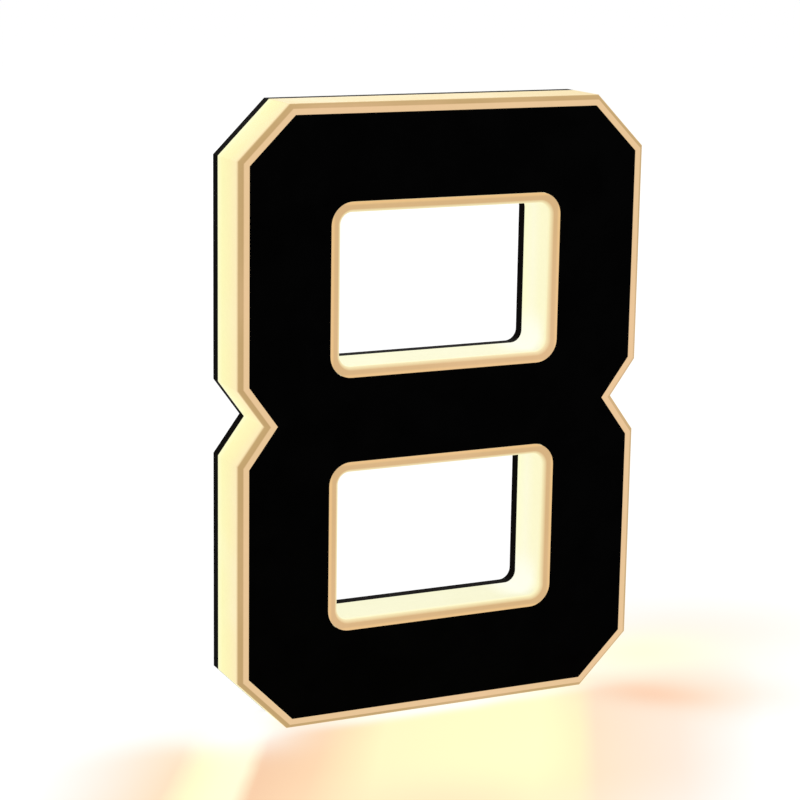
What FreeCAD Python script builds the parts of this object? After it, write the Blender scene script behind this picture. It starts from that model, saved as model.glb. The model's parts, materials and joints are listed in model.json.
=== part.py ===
import FreeCAD, Part
import math
import os
import Sketcher
from FreeCAD import Placement, Rotation, Vector

# Illuminated house number, figure 8, in millimetres.
#
# Frame: X runs along the face, Z is up, and Y runs into the wall. The wall's face is the plane Y = 0, and the origin
# is the centre of the four wall studs. The figure faces -Y. A "level" below is a distance in front of the wall, -Y.
#
# From the wall outwards: standoff sleeves, black back plate, translucent body milled hollow from behind with the
# light modules in its channel, white film and black face plate let into the body's front.

# ---------------------------------------------------------------------------------------------------------------
# Driving dimensions
# ---------------------------------------------------------------------------------------------------------------

DRIVING = {
    # outline of the figure
    "figure_width": 142.0,
    "figure_height": 200.0,
    "stroke_width": 34.0,
    "corner_cut": 17.0,
    "vee_depth": 8.8,
    "vee_half_height": 12.0,
    "counter_corner_radius": 4.0,
    # translucent body
    "body_depth": 18.0,
    "body_wall": 5.0,
    "outer_bevel": 1.6,
    "counter_bevel": 1.1,
    "web_thickness": 2.2,
    # face plate and film, let into the body
    "face_margin": 3.3,
    "face_clearance": 0.1,
    "face_thickness": 2.0,
    "film_thickness": 0.3,
    # back plate, gasket
    "plate_thickness": 4.0,
    "gasket_width": 2.0,
    "gasket_depth": 1.2,
    # wall studs and what is on them
    "stud_radius": 2.0,
    "stud_hole_radius": 2.15,
    "stud_reach": 10.0,
    "stud_from_counter": 9.0,
    "stud_tip": 1.0,
    "stud_shank_radius": 1.75,
    "stud_shank_length": 8.0,
    "nut_across_flats": 7.0,
    "nut_height": 3.2,
    "washer_radius": 4.5,
    "washer_thickness": 0.8,
    "seal_radius": 5.5,
    "seal_thickness": 1.0,
    "sleeve_radius": 5.0,
    "sleeve_length": 9.0,
    # screws that hold the back plate
    "screw_radius": 1.5,
    "screw_hole_radius": 1.6,
    "screw_length": 8.0,
    "screw_head_radius": 3.0,
    "screw_head_clearance": 0.1,
    "screw_socket_radius": 1.0,
    "screw_socket_depth": 1.2,
    "screw_from_corner_cut": 6.5,
    "screw_from_vee": 10.2,
    "boss_radius": 4.5,
    "insert_radius": 2.3,
    "insert_length": 6.0,
    "insert_end_gap": 0.5,
    # light module
    "module_length": 36.0,
    "module_width": 13.0,
    "module_height": 5.0,
    "module_wall": 1.0,
    "module_edge_round": 1.0,
    "module_recess": 2.2,
    "tape_thickness": 0.8,
    "tape_margin": 0.5,
    "board_clearance": 0.2,
    "board_thickness": 1.0,
    "chip_length": 3.5,
    "chip_width": 2.8,
    "chip_height": 0.9,
    "lens_pitch": 11.0,
    "lens_radius": 3.4,
    "lens_clearance": 0.05,
    "lens_top_radius": 2.0,
    "lens_rise": 1.6,
    # leads between the modules
    "strand_width": 1.2,
    "strand_spacing": 1.6,
    "lead_thickness": 1.2,
    "lead_bend": 3.0,
    "lead_insertion": 3.0,
    "lead_height": 4.0,
    # terminal block
    "terminal_length": 14.0,
    "terminal_width": 17.0,
    "terminal_height": 10.0,
    "terminal_pitch": 8.0,
    "clamp_radius": 2.4,
    "clamp_bore_radius": 1.4,
    "clamp_length": 10.0,
    "terminal_fit": 0.05,
    "terminal_screw_radius": 1.3,
    "terminal_screw_head_radius": 1.9,
    "terminal_screw_head_height": 1.4,
    "terminal_screw_top_gap": 1.2,
    "terminal_slot_width": 0.5,
    "terminal_slot_depth": 0.6,
    # grommet for the supply lead
    "grommet_bore_radius": 2.75,
    "grommet_neck_radius": 5.0,
    "grommet_flange_radius": 6.5,
    "grommet_flange_thickness": 1.2,
}

doc = FreeCAD.newDocument("house_number_8")
sheet = doc.addObject("Spreadsheet::Sheet", "sizes")
for row, (alias, number) in enumerate(DRIVING.items(), start=1):
    sheet.set(f"A{row}", alias)
    sheet.set(f"B{row}", str(number))
    sheet.setAlias(f"B{row}", alias)
doc.recompute()


class Size:
    """A length held both as a number and as the sheet's formula for it."""

    def __init__(self, number, formula):
        self.number = number
        self.formula = formula

    def __add__(self, other):
        other = as_size(other)
        return Size(self.number + other.number, f"({self.formula} + {other.formula})")

    def __sub__(self, other):
        other = as_size(other)
        return Size(self.number - other.number, f"({self.formula} - {other.formula})")

    def __mul__(self, other):
        other = as_size(other)
        return Size(self.number * other.number, f"({self.formula} * {other.formula})")

    def __truediv__(self, other):
        other = as_size(other)
        return Size(self.number / other.number, f"({self.formula} / {other.formula})")

    def __neg__(self):
        return Size(-self.number, f"(-1 * {self.formula})")

    def root(self):
        return Size(math.sqrt(self.number), f"sqrt({self.formula})")


def as_size(value):
    return value if isinstance(value, Size) else Size(float(value), f"{value:.12f}")


def cell(alias):
    """One of the sheet's driving dimensions."""
    return Size(float(sheet.get(alias)), f"sizes.{alias}")


# ---------------------------------------------------------------------------------------------------------------
# Places worked out from the driving dimensions
# ---------------------------------------------------------------------------------------------------------------

ZERO = as_size(0)
HALF_WIDTH = cell("figure_width") / 2
HALF_HEIGHT = cell("figure_height") / 2
STROKE = cell("stroke_width")

# The three strokes across and the two counters between them share the height.
COUNTER_HALF_WIDTH = HALF_WIDTH - STROKE
COUNTER_HALF_HEIGHT = (cell("figure_height") - STROKE * 3) / 4
COUNTER_CENTRE = COUNTER_HALF_HEIGHT + STROKE / 2

# Levels in front of the wall.
PLATE_BACK = cell("sleeve_length") + cell("seal_thickness")
PLATE_FRONT = PLATE_BACK + cell("plate_thickness")
BODY_FRONT = PLATE_FRONT + cell("body_depth")
FACE_BACK = BODY_FRONT - cell("face_thickness")
RECESS_FLOOR = FACE_BACK - cell("film_thickness")
CHANNEL_DEPTH = RECESS_FLOOR - cell("web_thickness") - PLATE_FRONT
LEAD_LEVEL = PLATE_FRONT + cell("lead_height")

# Middles of the strokes, where the modules sit.
STROKE_X = HALF_WIDTH - STROKE / 2
STROKE_Z = HALF_HEIGHT - STROKE / 2

DIAGONAL = math.sqrt(2)

# The wall studs stand diagonally outside the counters' outer corners.
STUD_X = COUNTER_HALF_WIDTH + cell("stud_from_counter")
STUD_Z = COUNTER_CENTRE + COUNTER_HALF_HEIGHT + cell("stud_from_counter")
STUD_POINTS = [(STUD_X, STUD_Z), (-STUD_X, STUD_Z), (-STUD_X, -STUD_Z), (STUD_X, -STUD_Z)]

# Plate screws: one inside each cut corner, on its diagonal, and one beside each vee at the waist.
SCREW_INSET = (cell("corner_cut") + cell("screw_from_corner_cut") * DIAGONAL) / 2
SCREW_X = HALF_WIDTH - SCREW_INSET
SCREW_Z = HALF_HEIGHT - SCREW_INSET
WAIST_X = HALF_WIDTH - cell("vee_depth") - cell("screw_from_vee")
SCREW_POINTS = [
    (SCREW_X, SCREW_Z), (-SCREW_X, SCREW_Z), (-SCREW_X, -SCREW_Z), (SCREW_X, -SCREW_Z),
    (WAIST_X, ZERO), (-WAIST_X, ZERO),
]

# A lead crosses each corner halfway between the corner boss and the stud's nut. On that line, across and up add to
# the crossing.
NUT_CORNER = cell("nut_across_flats") / math.sqrt(3)
BOSS_SIDE = (SCREW_X + SCREW_Z) / DIAGONAL - cell("boss_radius")
NUT_SIDE = (STUD_X + STUD_Z) / DIAGONAL + NUT_CORNER
CROSSING = (BOSS_SIDE + NUT_SIDE) / 2 * DIAGONAL

MODULE_HALF = cell("module_length") / 2

# The terminal block and the grommet stand halfway between the middle module's ends and the waist bosses.
WAIST_BOSS_SIDE = WAIST_X - cell("boss_radius")
TERMINAL_X = (MODULE_HALF + WAIST_BOSS_SIDE) / 2
GROMMET_X = -TERMINAL_X

# One module to each of the seven strokes: name, centre across, centre up, turn.
LEVEL = 0
UPRIGHT = math.degrees(math.pi / 2)
MODULES = [
    ("top", ZERO, STROKE_Z, LEVEL),
    ("upper_right", STROKE_X, COUNTER_CENTRE, UPRIGHT),
    ("lower_right", STROKE_X, -COUNTER_CENTRE, UPRIGHT),
    ("bottom", ZERO, -STROKE_Z, LEVEL),
    ("lower_left", -STROKE_X, -COUNTER_CENTRE, UPRIGHT),
    ("upper_left", -STROKE_X, COUNTER_CENTRE, UPRIGHT),
    ("middle", ZERO, ZERO, LEVEL),
]

PARTS = []


# ---------------------------------------------------------------------------------------------------------------
# Sketches
# ---------------------------------------------------------------------------------------------------------------

POINT_CODES = ("edge", "start", "end", "centre")
START, END, CENTRE = (POINT_CODES.index(code) for code in ("start", "end", "centre"))
ORIGIN = START
H_AXIS, V_AXIS = -START, -END
UP = Vector(0, 0, 1)


def origin_plane(body, role):
    return next(item for item in body.Origin.OriginFeatures if item.Role == role)


def wall_sketch(body, name, level):
    """A sketch parallel to the wall, its normal away from the wall, at a level in front of it."""
    sketch = body.newObject("Sketcher::SketchObject", name)
    sketch.AttachmentSupport = (origin_plane(body, "XZ_Plane"), [""])
    sketch.MapMode = "FlatFace"
    sketch.AttachmentOffset = Placement(Vector(0, 0, level.number), Rotation())
    sketch.setExpression("AttachmentOffset.Base.z", level.formula)
    return sketch


def flat_sketch(body, name, height):
    """A sketch for a piece drawn lying on its own XY plane, at a height above it."""
    sketch = body.newObject("Sketcher::SketchObject", name)
    sketch.AttachmentSupport = (origin_plane(body, "XY_Plane"), [""])
    sketch.MapMode = "FlatFace"
    sketch.AttachmentOffset = Placement(Vector(0, 0, height.number), Rotation())
    sketch.setExpression("AttachmentOffset.Base.z", height.formula)
    return sketch


def dimension(sketch, kind, where, length):
    """One driven dimension of a sketch."""
    index = sketch.addConstraint(Sketcher.Constraint(kind, *where, length.number))
    sketch.setExpression(f"Constraints[{index}]", length.formula)


def pin(sketch, element, end, across, up):
    """Hold a point at a distance from the sketch's origin, or on an axis where that distance is nothing."""
    for kind, length, axis in (("DistanceX", across, V_AXIS), ("DistanceY", up, H_AXIS)):
        if length is ZERO:
            sketch.addConstraint(Sketcher.Constraint("PointOnObject", element, end, axis))
        else:
            dimension(sketch, kind, (-1, ORIGIN, element, end), length)


def draw_polygon(sketch, points):
    """A closed run of lines through points given as numbers. Line k starts at point k."""
    corners = [Vector(across, up, 0) for across, up in points]
    count = len(corners)
    first = sketch.GeometryCount
    for k in range(count):
        sketch.addGeometry(Part.LineSegment(corners[k], corners[(k + 1) % count]), False)
    for k in range(count):
        following = first + (k + 1) % count
        sketch.addConstraint(Sketcher.Constraint("Coincident", first + k, END, following, START))
    return first


def draw_outline(sketch, inset):
    """The outside of the 8: a rectangle with cut corners and a vee in each side, drawn in by an inset."""
    side = HALF_WIDTH - inset
    top = HALF_HEIGHT - inset
    corner = cell("corner_cut") - inset * (2 - math.sqrt(2))
    depth, mouth = cell("vee_depth"), cell("vee_half_height")
    slope = (depth * depth + mouth * mouth).root()
    inset_mouth = mouth + inset * (slope - mouth) / depth
    apex = HALF_WIDTH - depth - inset * slope / mouth
    quarter = [(side - corner, top), (side, top - corner), (side, inset_mouth), (apex, ZERO)]

    right = [(across.number, up.number) for across, up in quarter]
    right += [(across, -up) for across, up in reversed(right[:-1])]
    left = [(-across, up) for across, up in reversed(right)]
    first = draw_polygon(sketch, right + left)

    for k, (across, up) in enumerate(quarter):
        pin(sketch, first + k, START, across, up)
    for k in range(3):
        pair = (first + k, START, first + 6 - k, START)
        sketch.addConstraint(Sketcher.Constraint("Symmetric", *pair, H_AXIS))
    for k in range(7):
        pair = (first + k, START, first + 13 - k, START)
        sketch.addConstraint(Sketcher.Constraint("Symmetric", *pair, V_AXIS))


def draw_rounded(sketch, half_width, half_height, up, radius):
    """A rectangle with round corners, centred on the vertical axis at a height up it."""
    w, z, r = half_width.number, up.number, radius.number
    low, high = z - half_height.number, z + half_height.number
    first = sketch.GeometryCount
    runs = [
        ((r - w, low), (w - r, low), (w - r, low + r), -90),
        ((w, low + r), (w, high - r), (w - r, high - r), 0),
        ((w - r, high), (r - w, high), (r - w, high - r), 90),
        ((-w, high - r), (-w, low + r), (r - w, low + r), 180),
    ]
    for start, end, centre, angle in runs:
        sketch.addGeometry(Part.LineSegment(Vector(*start, 0), Vector(*end, 0)), False)
        circle = Part.Circle(Vector(*centre, 0), UP, r)
        turn = math.radians(angle)
        sketch.addGeometry(Part.ArcOfCircle(circle, turn, turn + math.pi / 2), False)
    count = 2 * len(runs)
    for k in range(count):
        following = first + (k + 1) % count
        sketch.addConstraint(Sketcher.Constraint("Tangent", first + k, END, following, START))
    bottom, right, top, left = lines = range(first, first + count, 2)
    for line in (bottom, top):
        sketch.addConstraint(Sketcher.Constraint("Horizontal", line))
    for line in (right, left):
        sketch.addConstraint(Sketcher.Constraint("Vertical", line))
    for line in lines[1:]:
        sketch.addConstraint(Sketcher.Constraint("Equal", first + 1, line + 1))
    dimension(sketch, "Radius", (first + 1,), radius)
    dimension(sketch, "DistanceX", (-1, ORIGIN, right, START), half_width)
    dimension(sketch, "DistanceX", (-1, ORIGIN, left, START), -half_width)
    dimension(sketch, "DistanceY", (-1, ORIGIN, bottom, START), up - half_height)
    dimension(sketch, "DistanceY", (-1, ORIGIN, top, START), up + half_height)


def draw_counter(sketch, side, grow):
    """The upper (side 1) or lower (side -1) counter's outline, drawn out into the strokes by grow."""
    draw_rounded(
        sketch,
        COUNTER_HALF_WIDTH + grow,
        COUNTER_HALF_HEIGHT + grow,
        COUNTER_CENTRE * side,
        cell("counter_corner_radius") + grow,
    )


def draw_figure(sketch, inset):
    """The whole 8 with both counters, every edge drawn in by the same inset."""
    draw_outline(sketch, inset)
    draw_counter(sketch, 1, inset)
    draw_counter(sketch, -1, inset)


def draw_circles(sketch, points, radius):
    for across, up in points:
        circle = Part.Circle(Vector(across.number, up.number, 0), UP, radius.number)
        index = sketch.addGeometry(circle, False)
        pin(sketch, index, CENTRE, across, up)
        dimension(sketch, "Radius", (index,), radius)


def draw_rectangle(sketch, length, width, across=ZERO, up=ZERO):
    """An upright rectangle, held by two opposite corners."""
    x, y = across.number, up.number
    half_l, half_w = length.number / 2, width.number / 2
    corners = [(x - half_l, y - half_w), (x + half_l, y - half_w), (x + half_l, y + half_w), (x - half_l, y + half_w)]
    first = draw_polygon(sketch, corners)
    for line in (first, first + 2):
        sketch.addConstraint(Sketcher.Constraint("Horizontal", line))
    for line in (first + 1, first + 3):
        sketch.addConstraint(Sketcher.Constraint("Vertical", line))
    pin(sketch, first, START, across - length / 2, up - width / 2)
    pin(sketch, first + 2, START, across + length / 2, up + width / 2)


def draw_hexagon(sketch, across, up, across_flats):
    """A regular hexagon with two flats level, its corners on a construction circle."""
    sides = 6
    radius = across_flats / math.sqrt(3)
    centre = Vector(across.number, up.number, 0)
    turns = [math.tau * k / sides for k in range(sides)]
    corners = [(centre.x + radius.number * math.cos(turn), centre.y + radius.number * math.sin(turn)) for turn in turns]
    first = draw_polygon(sketch, corners)
    ring = sketch.addGeometry(Part.Circle(centre, UP, radius.number), True)
    for k in range(sides):
        sketch.addConstraint(Sketcher.Constraint("PointOnObject", first + k, START, ring))
    for k in range(1, sides):
        sketch.addConstraint(Sketcher.Constraint("Equal", first, first + k))
    sketch.addConstraint(Sketcher.Constraint("Horizontal", first + 1))
    pin(sketch, ring, CENTRE, across, up)
    dimension(sketch, "Radius", (ring,), radius)


# ---------------------------------------------------------------------------------------------------------------
# Features
# ---------------------------------------------------------------------------------------------------------------


def new_body(label):
    body = doc.addObject("PartDesign::Body", label)
    body.Label = label
    PARTS.append(body)
    return body


def add_pad(body, sketch, length):
    pad = body.newObject("PartDesign::Pad", f"{sketch.Name}_pad")
    pad.Profile = sketch
    pad.setExpression("Length", length.formula)
    doc.recompute()
    return pad


def add_pocket(body, sketch, length, forwards=False):
    """Cut from the sketch back towards the wall, or forwards away from it."""
    before = body.Shape.Volume
    pocket = body.newObject("PartDesign::Pocket", f"{sketch.Name}_pocket")
    pocket.Profile = sketch
    pocket.Reversed = forwards
    pocket.setExpression("Length", length.formula)
    doc.recompute()
    if body.Shape.Volume >= before:
        raise RuntimeError(f"{pocket.Name} cuts nothing")
    return pocket


SAME_PLACE = 1e-4


def edges_at(shape, axis, value):
    """Names of the edges that lie wholly at one value along an axis."""
    names = []
    for number, edge in enumerate(shape.Edges, start=1):
        box = edge.BoundBox
        low, high = getattr(box, f"{axis}Min"), getattr(box, f"{axis}Max")
        if abs(low - value) < SAME_PLACE and abs(high - value) < SAME_PLACE:
            names.append(f"Edge{number}")
    return names


def add_chamfer(body, name, base, edges, size):
    chamfer = body.newObject("PartDesign::Chamfer", name)
    chamfer.Base = (base, edges)
    chamfer.setExpression("Size", size.formula)
    doc.recompute()
    return chamfer


def place_on_plate(item, across, up, turn):
    """Stand a piece drawn on its own XY plane on the back plate's front, turned about the level axis."""
    lay = Rotation(Vector(1, 0, 0), UPRIGHT)
    spin = Rotation(Vector(0, -1, 0), turn)
    item.Placement = Placement(Vector(across.number, -PLATE_FRONT.number, up.number), spin.multiply(lay))
    item.setExpression("Placement.Base.x", across.formula)
    item.setExpression("Placement.Base.y", (-PLATE_FRONT).formula)
    item.setExpression("Placement.Base.z", up.formula)


def add_pegs(body, name, points, radius, start, length):
    """Add equal round pegs square to the wall, from a level forwards."""
    sketch = wall_sketch(body, name, start)
    draw_circles(sketch, points, radius)
    return add_pad(body, sketch, length)


def rings(label, points, outer, inner, start, length):
    """A body of equal round rings square to the wall, from a level forwards."""
    body = new_body(label)
    sketch = wall_sketch(body, f"{label}_sketch", start)
    draw_circles(sketch, points, outer)
    draw_circles(sketch, points, inner)
    add_pad(body, sketch, length)
    return body


# ---------------------------------------------------------------------------------------------------------------
# The figure
# ---------------------------------------------------------------------------------------------------------------


def front_rims(shape):
    """Names of the body's front edges round the outside, and of those round the counters."""
    outside, counters = [], []
    for name in edges_at(shape, "Y", -BODY_FRONT.number):
        box = shape.getElement(name).BoundBox
        reach = max(box.XMax, -box.XMin)
        in_counter = reach < COUNTER_HALF_WIDTH.number + SAME_PLACE
        (counters if in_counter else outside).append(name)
    return outside, counters


def make_diffuser_body():
    """Translucent block: bevelled front edges, recess for the face, channel, screw bosses and gasket grooves."""
    body = new_body("diffuser_body")

    block = wall_sketch(body, "block", PLATE_FRONT)
    draw_figure(block, ZERO)
    block_pad = add_pad(body, block, cell("body_depth"))
    outside, _ = front_rims(body.Shape)
    outer_bevel = add_chamfer(body, "outer_bevel", block_pad, outside, cell("outer_bevel"))
    _, counters = front_rims(body.Shape)
    add_chamfer(body, "counter_bevel", outer_bevel, counters, cell("counter_bevel"))

    recess = wall_sketch(body, "face_recess", BODY_FRONT)
    draw_figure(recess, cell("face_margin"))
    add_pocket(body, recess, BODY_FRONT - RECESS_FLOOR)

    channel = wall_sketch(body, "channel", PLATE_FRONT)
    draw_figure(channel, cell("body_wall"))
    add_pocket(body, channel, CHANNEL_DEPTH, forwards=True)

    add_pegs(body, "screw_bosses", SCREW_POINTS, cell("boss_radius"), PLATE_FRONT, CHANNEL_DEPTH)

    inserts = wall_sketch(body, "insert_holes", PLATE_FRONT)
    draw_circles(inserts, SCREW_POINTS, cell("insert_radius"))
    add_pocket(body, inserts, cell("insert_length") + cell("insert_end_gap"), forwards=True)

    grooves = wall_sketch(body, "gasket_grooves", PLATE_FRONT)
    draw_gasket_line(grooves)
    add_pocket(body, grooves, cell("gasket_depth"), forwards=True)


def gasket_insets():
    """How far in from the body's edge the gasket's two sides lie: it runs along the middle of the wall."""
    middle = cell("body_wall") / 2
    half = cell("gasket_width") / 2
    return middle - half, middle + half


def draw_gasket_line(sketch):
    for inset in gasket_insets():
        draw_figure(sketch, inset)


def make_face_plate():
    body = new_body("face_plate")
    sketch = wall_sketch(body, "face_outline", FACE_BACK)
    draw_figure(sketch, cell("face_margin") + cell("face_clearance"))
    add_pad(body, sketch, cell("face_thickness"))


def make_face_film():
    """White film between the face plate and the body, which sends light back into the channel."""
    body = new_body("reflector_film")
    sketch = wall_sketch(body, "film_outline", RECESS_FLOOR)
    draw_figure(sketch, cell("face_margin") + cell("face_clearance"))
    add_pad(body, sketch, cell("film_thickness"))


def make_gaskets():
    inner_inset, outer_inset = gasket_insets()

    outer = new_body("outer_gasket")
    loop = wall_sketch(outer, "outer_loop", PLATE_FRONT)
    draw_outline(loop, inner_inset)
    draw_outline(loop, outer_inset)
    add_pad(outer, loop, cell("gasket_depth"))

    counters = new_body("counter_gaskets")
    loops = wall_sketch(counters, "counter_loops", PLATE_FRONT)
    for side in (1, -1):
        draw_counter(loops, side, inner_inset)
        draw_counter(loops, side, outer_inset)
    add_pad(counters, loops, cell("gasket_depth"))


def make_back_plate():
    body = new_body("back_plate")
    outline = wall_sketch(body, "plate_outline", PLATE_BACK)
    draw_figure(outline, ZERO)
    add_pad(body, outline, cell("plate_thickness"))

    through = wall_sketch(body, "stud_holes", PLATE_BACK)
    draw_circles(through, STUD_POINTS, cell("stud_hole_radius"))
    draw_circles(through, [(GROMMET_X, ZERO)], cell("grommet_neck_radius"))
    add_pocket(body, through, cell("plate_thickness"), forwards=True)

    heads = wall_sketch(body, "screw_holes", PLATE_BACK)
    draw_circles(heads, SCREW_POINTS, cell("screw_hole_radius"))
    doc.recompute()
    before = body.Shape.Volume
    hole = body.newObject("PartDesign::Hole", "countersunk_holes")
    hole.Profile = heads
    hole.Reversed = True
    hole.DepthType = "ThroughAll"
    hole.HoleCutType = "Countersink"
    hole.HoleCutCustomValues = True
    hole.HoleCutCountersinkAngle = 90
    hole.setExpression("Diameter", (cell("screw_hole_radius") * 2).formula)
    cut = (cell("screw_head_radius") + cell("screw_head_clearance")) * 2
    hole.setExpression("HoleCutDiameter", cut.formula)
    doc.recompute()
    if body.Shape.Volume >= before:
        raise RuntimeError("the screw holes cut nothing")


# ---------------------------------------------------------------------------------------------------------------
# Fasteners
# ---------------------------------------------------------------------------------------------------------------


def make_plate_screws():
    """Countersunk screws: a cone of 45 degrees down to the shank, and a round driver socket."""
    body = new_body("plate_screws")
    head_height = cell("screw_head_radius") - cell("screw_radius")
    add_pegs(body, "screw_shanks", SCREW_POINTS, cell("screw_radius"), PLATE_BACK, cell("screw_length"))
    cone = add_pegs(body, "screw_heads", SCREW_POINTS, cell("screw_head_radius"), PLATE_BACK, head_height)
    cone.TaperAngle = -45
    doc.recompute()

    sockets = wall_sketch(body, "screw_sockets", PLATE_BACK)
    draw_circles(sockets, SCREW_POINTS, cell("screw_socket_radius"))
    add_pocket(body, sockets, cell("screw_socket_depth"), forwards=True)


def make_threaded_inserts():
    outer, inner = cell("insert_radius"), cell("screw_radius")
    rings("threaded_inserts", SCREW_POINTS, outer, inner, PLATE_FRONT, cell("insert_length"))


def make_wall_fixings():
    """Studs threaded at both ends through the back plate: a nut and washer inside, a seal and sleeve outside."""
    stud, bore = cell("stud_radius"), cell("stud_hole_radius")
    nut_level = PLATE_FRONT + cell("washer_thickness")
    stud_end = nut_level + cell("nut_height") + cell("stud_tip")
    shank, inner = cell("stud_shank_radius"), cell("stud_shank_length")
    studs = new_body("wall_studs")
    add_pegs(studs, "wall_threads", STUD_POINTS, stud, -cell("stud_reach"), cell("stud_reach"))
    add_pegs(studs, "shanks", STUD_POINTS, shank, ZERO, inner)
    add_pegs(studs, "plate_threads", STUD_POINTS, stud, inner, stud_end - inner)
    rings("standoff_sleeves", STUD_POINTS, cell("sleeve_radius"), bore, ZERO, cell("sleeve_length"))
    seal = cell("seal_thickness")
    rings("seal_washers", STUD_POINTS, cell("seal_radius"), bore, cell("sleeve_length"), seal)
    rings("stud_washers", STUD_POINTS, cell("washer_radius"), bore, PLATE_FRONT, cell("washer_thickness"))

    nuts = new_body("stud_nuts")
    sketch = wall_sketch(nuts, "nut_outline", nut_level)
    for across, up in STUD_POINTS:
        draw_hexagon(sketch, across, up, cell("nut_across_flats"))
    draw_circles(sketch, STUD_POINTS, stud)
    add_pad(nuts, sketch, cell("nut_height"))


def make_grommet():
    """Rubber ring in the back plate for the supply lead: a neck in the hole and a flange on each side."""
    body = new_body("cable_grommet")
    centre = [(GROMMET_X, ZERO)]
    flange = cell("grommet_flange_thickness")
    rim = cell("grommet_flange_radius")
    add_pegs(body, "outer_flange", centre, rim, PLATE_BACK - flange, flange)
    add_pegs(body, "neck", centre, cell("grommet_neck_radius"), PLATE_BACK, cell("plate_thickness"))
    add_pegs(body, "inner_flange", centre, rim, PLATE_FRONT, flange)
    bore = wall_sketch(body, "grommet_bore", PLATE_BACK - flange)
    draw_circles(bore, centre, cell("grommet_bore_radius"))
    add_pocket(body, bore, cell("plate_thickness") + flange * 2, forwards=True)


# ---------------------------------------------------------------------------------------------------------------
# Light modules, each drawn flat about its own origin and stood on the back plate
# ---------------------------------------------------------------------------------------------------------------

LENS_OFFSETS = [(-cell("lens_pitch"), ZERO), (ZERO, ZERO), (cell("lens_pitch"), ZERO)]
HOUSING_BASE = cell("tape_thickness")
HOUSING_TOP = HOUSING_BASE + cell("module_height")
BOARD_TOP = HOUSING_BASE + cell("board_thickness")
LENS_BASE = HOUSING_BASE + cell("module_recess")


def make_module_tape(label):
    body = new_body(label)
    sketch = flat_sketch(body, f"{label}_sketch", ZERO)
    margin = cell("tape_margin") * 2
    draw_rectangle(sketch, cell("module_length") - margin, cell("module_width") - margin)
    add_pad(body, sketch, cell("tape_thickness"))
    return body


def make_module_housing(label):
    """Moulded cover: rounded block, recess below for the board, and three windows for the lenses."""
    body = new_body(label)
    outline = flat_sketch(body, f"{label}_outline", HOUSING_BASE)
    draw_rectangle(outline, cell("module_length"), cell("module_width"))
    block = add_pad(body, outline, cell("module_height"))
    fillet = body.newObject("PartDesign::Fillet", f"{label}_rounds")
    fillet.Base = (block, edges_at(body.Shape, "Z", HOUSING_TOP.number))
    fillet.setExpression("Radius", cell("module_edge_round").formula)
    doc.recompute()

    recess = flat_sketch(body, f"{label}_recess", HOUSING_BASE)
    wall = cell("module_wall") * 2
    draw_rectangle(recess, cell("module_length") - wall, cell("module_width") - wall)
    add_pocket(body, recess, cell("module_recess"), forwards=True)

    windows = flat_sketch(body, f"{label}_windows", HOUSING_TOP)
    draw_circles(windows, LENS_OFFSETS, cell("lens_radius") + cell("lens_clearance"))
    add_pocket(body, windows, cell("module_height"))
    return body


def make_module_board(label):
    body = new_body(label)
    sketch = flat_sketch(body, f"{label}_sketch", HOUSING_BASE)
    margin = (cell("module_wall") + cell("board_clearance")) * 2
    draw_rectangle(sketch, cell("module_length") - margin, cell("module_width") - margin)
    add_pad(body, sketch, cell("board_thickness"))
    return body


def make_module_chips(label):
    body = new_body(label)
    sketch = flat_sketch(body, f"{label}_sketch", BOARD_TOP)
    for across, up in LENS_OFFSETS:
        draw_rectangle(sketch, cell("chip_length"), cell("chip_width"), across, up)
    add_pad(body, sketch, cell("chip_height"))
    return body


def make_module_lenses(label):
    """Three lenses, each a stem in its window with a cone on top."""
    body = new_body(label)
    radius, rise = cell("lens_radius"), cell("lens_rise")
    for name, start, length in (("stems", LENS_BASE, HOUSING_TOP - LENS_BASE), ("cones", HOUSING_TOP, rise)):
        sketch = flat_sketch(body, f"{label}_{name}", start)
        draw_circles(sketch, LENS_OFFSETS, radius)
        pad = add_pad(body, sketch, length)
    slope = (radius - cell("lens_top_radius")) / rise
    pad.setExpression("TaperAngle", f"-atan({slope.formula})")
    doc.recompute()
    return body


def make_module(name, across, up, turn):
    makers = {
        "tape": make_module_tape,
        "housing": make_module_housing,
        "board": make_module_board,
        "chips": make_module_chips,
        "lenses": make_module_lenses,
    }
    for piece, maker in makers.items():
        place_on_plate(maker(f"{name}_module_{piece}"), across, up, turn)


# ---------------------------------------------------------------------------------------------------------------
# Terminal block
# ---------------------------------------------------------------------------------------------------------------

POLES = (cell("terminal_pitch") / 2, -(cell("terminal_pitch") / 2))
CLAMP_TOP = cell("lead_height") + cell("clamp_radius")
SCREW_TOP = cell("terminal_height") - cell("terminal_screw_top_gap")


def cross_sketch(body, name, distance):
    """A sketch across a flat-drawn piece's length, at a distance along it, with its own X across the piece."""
    sketch = body.newObject("Sketcher::SketchObject", name)
    sketch.AttachmentSupport = (origin_plane(body, "YZ_Plane"), [""])
    sketch.MapMode = "FlatFace"
    sketch.AttachmentOffset = Placement(Vector(0, 0, distance.number), Rotation())
    sketch.setExpression("AttachmentOffset.Base.z", distance.formula)
    return sketch


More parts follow.
